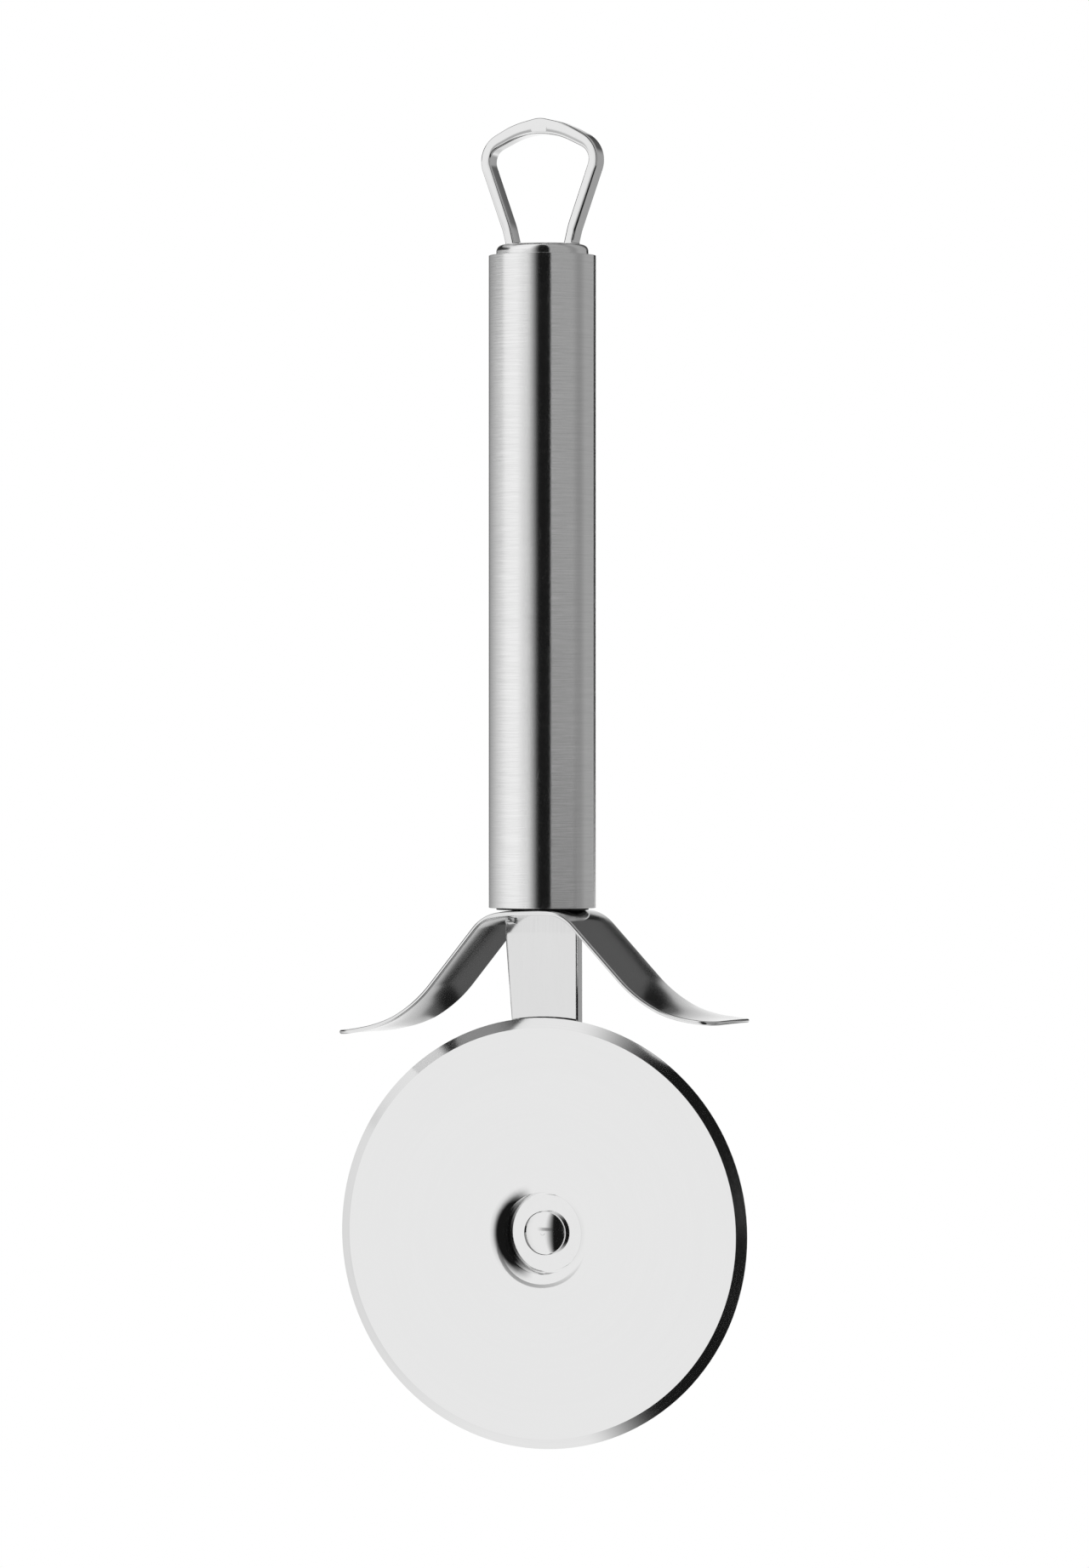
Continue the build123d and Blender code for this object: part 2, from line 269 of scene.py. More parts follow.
# Low on the right: the handle's lower right, the neck's right edge and the bevel's right side.
add_board("board_low_right", (38.2, 104), (-22, -2.5), 0.010, (0.01, 0.15, 0.2, 0.06), radius=0.85)
# Narrow ones behind the tool: the thin outlines down the handle's right and left sides.
add_board("board_edge_right", (162, 182), (-0.3, 14.5), 0.01, (0.12, 0.1, 0.08, 0.04), radius=0.88)
add_board("board_edge_left", (205, 232), (-0.3, 24), 0.10, (0.1, 0.8, 0.05, 0.3), radius=0.88)
# Behind on the left: the grey of the handle's left flank.
add_board("board_back_left", (206, 310), (-60, 60), 0.35, (0.05, 0.9, 0.1, 0.1), radius=0.98)
# Overhead: the top edge of the upper cap and of the loop.
add_board("board_overhead", (80, 280), (48, 86), 0.05, (0.1, 0.1, 0.02, 0.1), radius=0.99)
# High on the left: the top of the handle's left flank and the top edge of the guard's left wing.
add_board("board_left_high", (212, 292), (13, 34), 0.03, (0.05, 0.15, 0.1, 0.15), radius=0.92)

# %% [markdown]
# The wings of the guard mirror what stands behind the tool, above and below the edge of the picture. From
# white at the height of the tool it falls off to grey, then comes a black line, then a wide grey board.
# On the far side the black line spreads into a patch. The right wing shows the high boards and the left
# wing the low ones, which are the same upside down and a little farther from the middle.

# %% Boards behind the tool
LOW_SHIFT = 2.2
BANDS = {
    "glow": ((166, 206), (2.0, 18.4), 0.55, (0.1, 0.05, 0.90, 0.03), 0.97),
    "grey": ((130, 198), (15.6, 70.0), 0.10, (0.3, 0.12, 0.02, 0.1), 0.95),
    "line": ((150, 183), (13.8, 18.4), 0.0, (0.2, 0.05, 0.15, 0.25), 0.93),
    "patch": ((178.5, 189.5), (15.4, 29.0), 0.01, (0.1, 0.4, 0.08, 0.3), 0.92),
}

for side, name in ((1, "high"), (-1, "low")):
    for kind, (azimuths, elevations, level, fades, radius) in BANDS.items():
        if side < 0:
            elevations = tuple(-angle - LOW_SHIFT for angle in reversed(elevations))
            fades = (fades[0], fades[1], fades[3], fades[2])
        add_board(f"board_{kind}_{name}", azimuths, elevations, level, fades, radius)

# %% [markdown]
# The world is plain white wherever the camera or a reflection looks, and a plain soft grey for what
# lights the floor. A picture of a room could stand there, but then the steel would show the room as well.

# %% World
WORLD_LEVEL = 0.75


def seen_or_mirrored(tree):
    """1 for rays from the camera, from reflections and through what is clear, 0 for the rest."""
    path = add_node(tree, "ShaderNodeLightPath")
    seen = math_node(tree, "MAXIMUM", path.outputs["Is Camera Ray"], path.outputs["Is Glossy Ray"])
    return math_node(tree, "MAXIMUM", seen, path.outputs["Is Transmission Ray"])


def add_world():
    world = bpy.data.worlds.new("white studio")
    world.use_nodes = True
    tree = world.node_tree
    tree.nodes.clear()
    lighting = add_node(tree, "ShaderNodeBackground", Color=grey(1), Strength=WORLD_LEVEL)
    backdrop = add_node(tree, "ShaderNodeBackground", Color=grey(1), Strength=1)
    mix = add_node(
        tree, "ShaderNodeMixShader",
        i0=seen_or_mirrored(tree), i1=lighting.outputs[0], i2=backdrop.outputs[0],
    )
    add_node(tree, "ShaderNodeOutputWorld", Surface=mix.outputs[0])
    bpy.context.scene.world = world


add_world()
print(f"world: white to look at, {WORLD_LEVEL} as a light")

# %% [markdown]
# The tool hangs from its loop, so the pale floor lies well below it. Only the camera sees the floor: the
# steel mirrors the white world instead, and from below the floor is clear. It turns white towards its rim,
# so that its edge doesn't show.

# %% Floor
FLOOR_DROP = 0.12
FLOOR_RADIUS = 0.85
FLOOR_STEPS = 96
FLOOR_GREY = 0.85
SHADE_NEAR = 0.25
SHADE_FAR = 0.8


def add_floor():
    mesh = bpy.data.meshes.new("floor")
    height = cad_low[2] - FLOOR_DROP
    turns = [math.tau * step / FLOOR_STEPS for step in range(FLOOR_STEPS)]
    corners = [(FLOOR_RADIUS * math.cos(turn), FLOOR_RADIUS * math.sin(turn), height) for turn in turns]
    mesh.from_pydata(corners, [], [tuple(range(FLOOR_STEPS))])
    material, tree = new_material("pale floor")
    card = add_node(tree, "ShaderNodeBsdfDiffuse", Color=grey(FLOOR_GREY))
    white = add_node(tree, "ShaderNodeEmission", Color=grey(1))
    coordinates = add_node(tree, "ShaderNodeTexCoord")
    reach = add_node(tree, "ShaderNodeVectorMath", {"operation": "LENGTH"}, i0=coordinates.outputs["Object"])
    share = add_node(
        tree, "ShaderNodeMapRange", {"interpolation_type": "SMOOTHSTEP"},
        Value=reach.outputs["Value"], From_Min=SHADE_NEAR, From_Max=SHADE_FAR, To_Min=FLOOR_GREY, To_Max=1.0,
    )
    amount = math_node(tree, "MULTIPLY", seen_or_mirrored(tree), share.outputs[0])
    mix = add_node(tree, "ShaderNodeMixShader", i0=amount, i1=card.outputs[0], i2=white.outputs[0])
    under = add_node(tree, "ShaderNodeNewGeometry").outputs["Backfacing"]
    clear = add_node(tree, "ShaderNodeBsdfTransparent")
    one_sided = add_node(tree, "ShaderNodeMixShader", i0=under, i1=mix.outputs[0], i2=clear.outputs[0])
    add_node(tree, "ShaderNodeOutputMaterial", Surface=one_sided.outputs[0])
    mesh.materials.append(material)
    floor = bpy.data.objects.new("floor", mesh)
    floor.visible_glossy = False
    bpy.context.scene.collection.objects.link(floor)
    print(f"floor at {height / MM:.0f} mm")


add_floor()

# %% [markdown]
# One large soft lamp, high up and in front on the left, gives the floor its shadow. The steel doesn't
# mirror it, so it leaves no bright spot there.

# %% Lamp
LAMP_POWER = 12.0
LAMP_SIZE = 1.2
LAMP_PLACE = (-0.6, -0.8, 1.2)


def add_lamp():
    data = bpy.data.lights.new("soft lamp", "AREA")
    data.energy = LAMP_POWER
    data.size = LAMP_SIZE
    lamp = bpy.data.objects.new("soft lamp", data)
    lamp.location = LAMP_PLACE
    lamp.rotation_euler = (middle_of("handle_tube") - lamp.location).to_track_quat("-Z", "Y").to_euler()
    lamp.visible_glossy = False
    bpy.context.scene.collection.objects.link(lamp)


add_lamp()
print(f"lamp: {LAMP_POWER} W, {LAMP_SIZE} m wide")

# %% [markdown]
# Every steel surface carries fine lines from its last polishing belt. On the tube they run round and
# round, on the wheel they are circles about the axle, and on the guard they run from tip to tip. They
# could be painted, but noise that is stretched until its spots become lines has no end and no seam. One
# group makes two masks of it: fine lines for the roughness, the colour and the bump, and broad bands that
# only darken.

# %% Group: belt lines
BAND_SCALE = 0.12


def belt_lines_group():
    """Fine lines. The place it is given is already stretched: lines lie where it changes slowly."""
    tree = bpy.data.node_groups.new("belt lines", "ShaderNodeTree")
    tree.interface.new_socket("Place", in_out="INPUT", socket_type="NodeSocketVector")
    tree.interface.new_socket("Fineness", in_out="INPUT", socket_type="NodeSocketFloat")
    tree.interface.new_socket("Lines", in_out="OUTPUT", socket_type="NodeSocketFloat")
    tree.interface.new_socket("Bands", in_out="OUTPUT", socket_type="NodeSocketFloat")
    start = tree.nodes.new("NodeGroupInput")
    end = tree.nodes.new("NodeGroupOutput")
    fine = add_node(
        tree, "ShaderNodeTexNoise",
        Vector=start.outputs["Place"], Scale=start.outputs["Fineness"], Detail=3.0, Roughness=0.65,
    )
    broad_scale = math_node(tree, "MULTIPLY", start.outputs["Fineness"], BAND_SCALE)
    broad = add_node(
        tree, "ShaderNodeTexNoise",
        Vector=start.outputs["Place"], Scale=broad_scale, Detail=2.0, Roughness=0.5,
    )
    contrast = add_node(tree, "ShaderNodeMapRange", Value=fine.outputs[0], From_Min=0.3, From_Max=0.7)
    softer = add_node(tree, "ShaderNodeMapRange", Value=broad.outputs[0], From_Min=0.3, From_Max=0.7)
    tree.links.new(contrast.outputs[0], end.inputs["Lines"])
    tree.links.new(softer.outputs[0], end.inputs["Bands"])
    return tree


belt_lines = belt_lines_group()
print("group made:", belt_lines.name)

# %% [markdown]
# The group wants a place that changes fast across its lines and slowly along them. On a turned piece the
# lines are circles, so that place is worked out from the distance to the axis, the way along it and the
# angle round it. The angle goes in by its sine and cosine, because they meet without a seam behind.

# %% Places for lines that go round an axis
def turned_place(tree, centre, axis, along_scale, round_scale):
    """A place in which lines run round an axis: fast along it or outward from it, slow round it. axis is
    Z for the handle and Y for the wheel. The distance to the axis is put out as well."""
    coordinates = add_node(tree, "ShaderNodeTexCoord")
    local = add_node(
        tree, "ShaderNodeVectorMath", {"operation": "SUBTRACT"},
        i0=coordinates.outputs["Object"], i1=centre,
    )
    parts = add_node(tree, "ShaderNodeSeparateXYZ", Vector=local.outputs[0])
    side = parts.outputs[0]
    other = parts.outputs[1] if axis == "Z" else parts.outputs[2]
    along = parts.outputs[2] if axis == "Z" else parts.outputs[1]
    side_square = math_node(tree, "MULTIPLY", side, side)
    other_square = math_node(tree, "MULTIPLY", other, other)
    radius = math_node(tree, "SQRT", math_node(tree, "ADD", side_square, other_square))
    angle = math_node(tree, "ARCTAN2", other, side)
    fast = math_node(tree, "MULTIPLY", math_node(tree, "ADD", along, radius), along_scale)
    slow_sine = math_node(tree, "MULTIPLY", math_node(tree, "SINE", angle), round_scale)
    slow_cosine = math_node(tree, "MULTIPLY", math_node(tree, "COSINE", angle), round_scale)
    place = add_node(tree, "ShaderNodeCombineXYZ", X=slow_sine, Y=slow_cosine, Z=fast)
    return place.outputs[0], radius


# %% [markdown]
# The last touch is use. A kitchen tool picks up a few hairline scratches in every direction and a faint
# uneven film from washing. The group below makes both as masks, so that each finish takes as much of them
# as it shows. The scratches are the edges between the cells of a pattern, bent a little by the film's
# noise and kept only in patches, so that they don't close into a net.

# %% Group: handling wear
SCRATCH_BEND = 0.02
SCRATCH_WIDTH = 0.012


def handling_wear_group():
    tree = bpy.data.node_groups.new("handling wear", "ShaderNodeTree")
    tree.interface.new_socket("Place", in_out="INPUT", socket_type="NodeSocketVector")
    tree.interface.new_socket("Film size", in_out="INPUT", socket_type="NodeSocketFloat")
    tree.interface.new_socket("Scratch size", in_out="INPUT", socket_type="NodeSocketFloat")
    tree.interface.new_socket("Film", in_out="OUTPUT", socket_type="NodeSocketFloat")
    tree.interface.new_socket("Scratches", in_out="OUTPUT", socket_type="NodeSocketFloat")
    start = tree.nodes.new("NodeGroupInput")
    end = tree.nodes.new("NodeGroupOutput")
    film = add_node(
        tree, "ShaderNodeTexNoise",
        Vector=start.outputs["Place"], Scale=start.outputs["Film size"], Detail=4.0, Roughness=0.6,
    )
    film_mask = add_node(tree, "ShaderNodeMapRange", Value=film.outputs[0], From_Min=0.4, From_Max=0.75)
    bent = add_node(
        tree, "ShaderNodeVectorMath", {"operation": "MULTIPLY_ADD"},
        i0=film.outputs["Color"], i1=(SCRATCH_BEND,) * 3, i2=start.outputs["Place"],
    )
    cells = add_node(
        tree, "ShaderNodeTexVoronoi", {"feature": "DISTANCE_TO_EDGE"},
        Vector=bent.outputs[0], Scale=start.outputs["Scratch size"],
    )
    hairline = add_node(
        tree, "ShaderNodeMapRange",
        Value=cells.outputs[0], From_Max=SCRATCH_WIDTH, To_Min=1.0, To_Max=0.0,
    )
    patchy = add_node(
        tree, "ShaderNodeTexNoise", Vector=start.outputs["Place"], Scale=start.outputs["Scratch size"],
    )
    kept = add_node(tree, "ShaderNodeMapRange", Value=patchy.outputs[0], From_Min=0.55, From_Max=0.7)
    scratches = math_node(tree, "MULTIPLY", hairline.outputs[0], kept.outputs[0])
    tree.links.new(film_mask.outputs[0], end.inputs["Film"])
    tree.links.new(scratches, end.inputs["Scratches"])
    return tree


handling_wear = handling_wear_group()
print("group made:", handling_wear.name)

# %% [markdown]
# One function finishes a steel surface from a place for its lines. Each finish has a grey, STEEL unless it
# says otherwise, and the lines darken it a little. The roughness rises where a line, a scratch or the film
# lies. In the bump the lines stand up and the scratches are cut in. The Principled shader stays in the
# material, with its plain values on its own sockets.

# %% Steel from a few values
STEEL = 0.80
LINE_GREY = 0.45
EDGE_SAMPLES = 8


def steel_shader(tree, place, values):
    """Wires a steel finish. values always has fineness, rough, rough_lines, dark_lines, bump, bump_height,
    film, film_size, scratch_size and anisotropic. It may have dark_bands, level and turn, and edge, the
    radius to which the shading softens sharp edges."""
    coordinates = add_node(tree, "ShaderNodeTexCoord")
    lines = add_node(
        tree, "ShaderNodeGroup", {"node_tree": belt_lines}, Place=place, Fineness=values["fineness"],
    )
    wear = add_node(
        tree, "ShaderNodeGroup", {"node_tree": handling_wear},
        Place=coordinates.outputs["Object"],
        Film_size=values["film_size"], Scratch_size=values["scratch_size"],
    )
    fine_lines = lines.outputs["Lines"]
    scratches = wear.outputs["Scratches"]
    rough_steps = math_node(tree, "MULTIPLY_ADD", fine_lines, values["rough_lines"], values["rough"])
    rough_film = math_node(tree, "MULTIPLY_ADD", wear.outputs["Film"], values["film"], rough_steps)
    roughness = math_node(tree, "MULTIPLY_ADD", scratches, values["film"], rough_film)
    dark = math_node(tree, "MULTIPLY", fine_lines, values["dark_lines"])
    dark_bands = values.get("dark_bands", values["dark_lines"])
    bands = math_node(tree, "MULTIPLY", lines.outputs["Bands"], dark_bands)
    darkness = math_node(tree, "ADD", dark, bands)
    level = values.get("level", STEEL)
    colour = add_node(
        tree, "ShaderNodeMix", {"data_type": "RGBA"},
        i0=darkness, i6=grey(level), i7=grey(level * LINE_GREY),
    )
    height = math_node(tree, "MULTIPLY_ADD", scratches, -1.0, fine_lines)
    bump = add_node(
        tree, "ShaderNodeBump", Strength=values["bump"], Distance=values["bump_height"], Height=height,
    )
    if values.get("edge"):
        rounded = add_node(tree, "ShaderNodeBevel", {"samples": EDGE_SAMPLES}, Radius=values["edge"])
        tree.links.new(rounded.outputs[0], bump.inputs["Normal"])
    shader = add_node(
        tree, "ShaderNodeBsdfPrincipled",
        Base_Color=colour.outputs[2], Metallic=1.0, Roughness=roughness, Normal=bump.outputs[0],
        Anisotropic=values["anisotropic"], Anisotropic_Rotation=values.get("turn", 0.0),
    )
    return shader


def finish_material(tree, shader, tangent=None):
    """Ends a material. tangent is the axis round which its anisotropic lines run, if it has them."""
    if tangent:
        node = add_node(tree, "ShaderNodeTangent", {"direction_type": "RADIAL", "axis": tangent})
        tree.links.new(node.outputs[0], shader.inputs["Tangent"])
    add_node(tree, "ShaderNodeOutputMaterial", Surface=shader.outputs[0])


# %% [markdown]
# The handle is satin. A belt running round the tube leaves short circular lines that spread every
# reflection up and down but hardly sideways, which is what anisotropy along the circle gives.

# %% Satin of the handle
def satin_material(name, centre):
    material, tree = new_material(name)
    place = turned_place(tree, centre, "Z", along_scale=5200.0, round_scale=1.3)[0]
    shader = steel_shader(tree, place, {
        "fineness": 1.0, "rough": 0.13, "rough_lines": 0.07, "dark_lines": 0.2, "dark_bands": 0.02,
        "bump": 0.2, "bump_height": 0.02 * MM, "level": 0.87, "film": 0.03, "film_size": 60.0,
        "scratch_size": 220.0, "anisotropic": 0.9, "turn": 0.25,
    })
    finish_material(tree, shader, "Z")
    return material


satin = satin_material("satin steel", centre=(0, 0, 0))
print("material made:", satin.name)

# %% [markdown]
# The wheel is polished to a mirror. Only its rim differs: the bevel is ground, so past the radius where
# it starts the lines are darker and the mirror is less sharp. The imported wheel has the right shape, so it
# keeps its mesh and only its material is exchanged.

# %% Mirror and ground rim of the wheel
BEVEL_WIDTH = 1.7 * MM


def dress(node, material):
    """Puts a material on a CAD node, in place of the one it came with."""
    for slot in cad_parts[node].material_slots:
        slot.material = material
    print(f"{node}: {material.name}")


def wheel_material():
    material, tree = new_material("wheel steel")
    place, radius = turned_place(tree, axle, "Y", along_scale=3000.0, round_scale=2.0)
    edge = wheel_radius - BEVEL_WIDTH
    on_bevel = math_node(tree, "GREATER_THAN", radius, edge)
    fine = {
        "fineness": 1.0, "rough": 0.045, "rough_lines": 0.02, "dark_lines": 0.012, "bump": 0.03,
        "bump_height": 0.005 * MM, "film": 0.03, "film_size": 35.0, "scratch_size": 90.0, "anisotropic": 0.0,
    }
    ground = dict(fine, rough=0.08, rough_lines=0.03, dark_lines=0.05, bump=0.02)
    mixed = dict(fine)
    for key in ("rough", "rough_lines", "dark_lines", "bump"):
        mixed[key] = math_node(tree, "MULTIPLY_ADD", on_bevel, ground[key] - fine[key], fine[key])
    shader = steel_shader(tree, place, mixed)
    finish_material(tree, shader)
    return material


dress("cutting_wheel", wheel_material())

# %% [markdown]
# The other pieces are polished by hand against a soft wheel. Their lines are faint and run one way: from
# tip to tip along the guard and down the neck. What lies behind the wheel is left plain. The cap under the
# handle is painted near black: that is painted shade, for the shadowed gap between the handle and the guard.

# %% Polished pieces
def straight_place(tree, stretch):
    """A place squeezed along the direction in which the lines run. stretch is one scale per axis."""
    coordinates = add_node(tree, "ShaderNodeTexCoord")
    mapping = add_node(
        tree, "ShaderNodeMapping", Vector=coordinates.outputs["Object"], Scale=stretch,
    )
    return mapping.outputs[0]


def polished_material(name, stretch, **changes):
    material, tree = new_material(name)
    values = {
        "fineness": 1.0, "rough": 0.06, "rough_lines": 0.04, "dark_lines": 0.02, "bump": 0.04,
        "bump_height": 0.005 * MM, "film": 0.04, "film_size": 70.0, "scratch_size": 160.0, "anisotropic": 0.0,
    }
    values.update(changes)
    shader = steel_shader(tree, straight_place(tree, stretch), values)
    finish_material(tree, shader)
    return material


guard_steel = polished_material(
    "guard steel", (60, 2200, 60), rough=0.10, rough_lines=0.02, bump=0.012, level=0.78,
)
loop_steel = polished_material("loop steel", (700, 700, 700), rough_lines=0.008, bump=0.005)
neck_steel = polished_material("neck steel", (3500, 3500, 120), level=0.73, edge=0.3 * MM)
rivet_steel = polished_material("rivet steel", (1500, 300, 1500), rough=0.05)
plain_steel = polished_material("plain steel", (1200, 1200, 1200), rough=0.28, rough_lines=0.12, level=0.6)
# Near black: painted shade for the shadowed gap under the handle, not a finish that the steel has.
painted_shade_steel = polished_material("painted shade steel", (1200, 1200, 1200), rough=0.45, rough_lines=0.12, level=0.05)
dress("neck", neck_steel)
for node in ("axle_rivet", "front_washer"):
    dress(node, rivet_steel)
for node in ("bearing_bush", "rear_washer", "tail_washer"):
    dress(node, plain_steel)

# %% [markdown]
# The tube, its two caps, the loop and the guard get their own meshes, because a reflection shows every
# soft edge that a plain solid leaves out. Each starts from a line of straight runs with rounded corners.
# The helper works in one flat plane, with a complex number for each point, because turning a point is
# then a single multiplication.

# %% Helper: a line with rounded corners
def rounded_line(corners, spacing, run):
    """Points along an open line, from corners of (across, up, rounding): spacing apart on the roundings and
    run apart on what is straight. A rounding of 0 keeps the corner sharp."""
    places = [complex(corner[0], corner[1]) for corner in corners]
    line = [places[0]]
    for number in range(1, len(corners) - 1):
        here = places[number]
        rounding = corners[number][2]
        if not rounding:
            line += straight_run(line[-1], here, run)
            continue
        back = places[number - 1] - here
        ahead = places[number + 1] - here
        back /= abs(back)
        ahead /= abs(ahead)
        half = abs(cmath.phase(ahead / back)) / 2
        start = here + back * rounding / math.tan(half)
        end = here + ahead * rounding / math.tan(half)
        centre = here + (back + ahead) / abs(back + ahead) * rounding / math.sin(half)
        turn = cmath.phase((end - centre) / (start - centre))
        steps = max(2, math.ceil(rounding * abs(turn) / spacing))
        line += straight_run(line[-1], start, run)
        turns = [cmath.rect(1, turn * step / steps) for step in range(1, steps + 1)]
        line += [centre + (start - centre) * each for each in turns]
    line += straight_run(line[-1], places[-1], run)
    return numpy.array([(place.real, place.imag) for place in line])


def straight_run(start, end, spacing):
    """Points after start, up to and with end."""
    steps = max(1, math.ceil(abs(end - start) / spacing))
    return [start + (end - start) * step / steps for step in range(1, steps + 1)]


sample = rounded_line([(0, 0, 0), (10, 0, 2), (10, 10, 0)], 0.5, 5)
print(f"a sample corner takes {len(sample)} points")

# %% [markdown]
# A finished shape becomes a piece of the tool when it is given a body to ride on and the slot of its
# finish. Smooth shading alone would let the small faces of a rounded edge bend the large flat ones beside
# it, so the normals are weighted by the faces' areas.

# %% Helper: from a shape to a piece
FLAT_WEIGHT = 80


def join_rings(shape, rings):
    """Faces between each closed ring of points and the next."""
    for ring, following in zip(rings, rings[1:]):
        for number in range(len(ring)):
            after = (number + 1) % len(ring)
            shape.faces.new((ring[number], ring[after], following[after], following[number]))


def new_piece(name, shape, material, body):
    """Turns a bmesh into a smooth piece that rides on a body."""
    bmesh.ops.recalc_face_normals(shape, faces=shape.faces)
    mesh = bpy.data.meshes.new(name)
    shape.to_mesh(mesh)
    shape.free()
    for face in mesh.polygons:
        face.use_smooth = True
    mesh.materials.append(material)
    piece = bpy.data.objects.new(name, mesh)
    bpy.context.scene.collection.objects.link(piece)
    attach(piece, body)
    print(f"{name}: {len(mesh.polygons)} faces")
    return piece


def keep_flats_flat(piece):
    """Lets large faces decide the shading, so that only the rounded edges bend a reflection."""
    modifier = piece.modifiers.new("flat faces", "WEIGHTED_NORMAL")
    modifier.mode = "FACE_AREA"
    modifier.weight = FLAT_WEIGHT
    modifier.keep_sharp = False


# %% [markdown]
# The tube and its caps are round, so each is one outline spun round the handle's axis. Points where an
# outline meets the axis fall together and are merged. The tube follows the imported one, but its ends are
# only just broken, as a deburring wheel leaves them.

# %% Helper: a turned piece
TURNED_STEPS = 256
TURNED_SPACING = 0.08
TURNED_RUN = 8.0
MERGE_DISTANCE = 0.001 * MM


def turned_piece(name, corners, material):
    """Spins a closed outline of (radius, height, rounding), in millimetres, round the handle's axis."""
    outline = rounded_line(corners + corners[:1], TURNED_SPACING, TURNED_RUN)
    shape = bmesh.new()
    rings = []
    for radius, height in outline[:-1]:
        turns = [math.tau * step / TURNED_STEPS for step in range(TURNED_STEPS)]
        rings.append([
            shape.verts.new((radius * math.cos(turn) * MM, radius * math.sin(turn) * MM, height * MM))
            for turn in turns
        ])
    join_rings(shape, rings + rings[:1])
    bmesh.ops.remove_doubles(shape, verts=shape.verts, dist=MERGE_DISTANCE)
    piece = new_piece(name, shape, material, "holder")
    keep_flats_flat(piece)
    return piece


# %% Handle tube
TUBE_WALL = 1.25
TUBE_BREAK = 0.07


def handle_tube(material):
    low, high = (corner[2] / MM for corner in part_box("handle_tube"))
    radius = size_of("handle_tube").x / 2 / MM
    bore = radius - TUBE_WALL
    piece = turned_piece("tube", [
        (bore, (low + high) / 2, 0), (bore, low, TUBE_BREAK), (radius, low, TUBE_BREAK),
        (radius, high, TUBE_BREAK), (bore, high, TUBE_BREAK),
    ], material)
    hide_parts("handle_tube")


handle_tube(satin)

# %% [markdown]
# Both caps are cups pressed from the same sheet, one facing up and one facing down. The top cap's shoulder
# is well rounded, with a short upright wall below it. The lower cap is nearly sharp and stands a third of
# a millimetre out of the tube. Its near black colour is painted shade: it draws the shadowed gap between
# the handle and the guard as a dark line.

# %% The two caps
CAP_SHEET = 1.2
TOP_CAP_SHOULDER = 1.2
LOW_CAP_SHOULDER = 0.12
LOW_CAP_DROP = 0.22


def cap_outline(radius, face, rim, shoulder):
    """A cup's outline, from its flat face over the shoulder to its open rim and back along the inside."""
    inner = radius - CAP_SHEET
    inner_face = face + math.copysign(CAP_SHEET, rim - face)
    return [
        (0, face, 0), (radius, face, shoulder), (radius, rim, 0),
        (inner, rim, 0), (inner, inner_face, 0), (0, inner_face, 0),
    ]


def top_cap(material):
    low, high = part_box("top_cap")
    outline = cap_outline(high[0] / MM, high[2] / MM, low[2] / MM, TOP_CAP_SHOULDER)
    piece = turned_piece("cap_of_the_loop", outline, material)
    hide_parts("top_cap")


def bottom_cap(material):
    low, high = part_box("bottom_cap")
    face = low[2] / MM - LOW_CAP_DROP
    outline = cap_outline(high[0] / MM, face, high[2] / MM, LOW_CAP_SHOULDER)
    piece = turned_piece("cap_of_the_guard", outline, material)
    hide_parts("bottom_cap")


top_cap(satin)
# The lower cap takes the near black material: painted shade for the gap between the handle and the guard.
bottom_cap(painted_shade_steel)

# %% [markdown]
# The hanging loop is a steel casting, tumbled until its edges are soft and then polished. Its bar is
# narrow, so the rounded edges are nearly half of what is seen of it from the front, and each one bends a
# dark board into a thin line. It is built as a sweep of one section from the left foot over the top to the
# right foot. Each section lies between a point of the outer outline and the point of the eye's outline
# that is as far along.

# %% Helper: points along a line
def both_halves(corners):
    """The corners of a right half, preceded by the same corners on the left."""
    return [(-across, up, rounding) for across, up, rounding in corners if across] + corners[::-1]


def spread_along(line, shares):
    """Points at the given shares of a line's length."""
    steps = numpy.hypot(*numpy.diff(line, axis=0).T)
    reached = numpy.concatenate(([0], numpy.cumsum(steps))) / steps.sum()
    return numpy.stack([numpy.interp(shares, reached, line[:, column]) for column in (0, 1)], axis=1)


# %% Hanging loop: one section
LOOP_HALF_THICKNESS = 1.8
LOOP_EDGE = 0.4
EDGE_STEPS = 5


def loop_section(outer, eye, spread):
    """One closed section as (across, depth, up) points in millimetres, from the two outlines' points."""
    outward = (outer - eye) / numpy.linalg.norm(outer - eye)
    top = outer + outward * spread
    low = eye - outward * spread
    half = LOOP_HALF_THICKNESS + spread
    ring = []
    corners = [(top, -1, -half), (low, 1, -half), (low, 1, half), (top, -1, half)]
    for number, (place, inward, depth) in enumerate(corners):
        middle = place + outward * inward * LOOP_EDGE
        face = math.copysign(half - LOOP_EDGE, depth)
        sweep = [step / EDGE_STEPS * math.pi / 2 for step in range(EDGE_STEPS + 1)]
        if number % 2:
            sweep.reverse()
        for angle in sweep:
            flat = middle - outward * inward * LOOP_EDGE * math.cos(angle)
            ring.append((flat[0], face + math.copysign(LOOP_EDGE * math.sin(angle), depth), flat[1]))
    return ring


# %% [markdown]
# The two outlines are lists of corners from the foot up, each with its rounding, in millimetres. At each
# foot the section spreads into the small fillet of the weld, and WELD_STEPS says how far up the outline
# the fillet's sections stand.

# %% Hanging loop: the sweep
LOOP_OUTER = [
    (6.05, 0, 0), (6.6, 2.3, 5.3), (11.64, 16.54, 5.0), (4.8, 20.35, 15.0), (0, 21.5, 4.4),
]
LOOP_EYE = [(4.36, 0, 0), (5.1, 3.15, 12.5), (9.44, 15.46, 2.5), (0, 20.07, 12.2)]
LOOP_STATIONS = 200
LOOP_SPACING = 0.1
WELD_FILLET = 0.35
WELD_STEPS = (0, 0.04, 0.1, 0.19, WELD_FILLET)


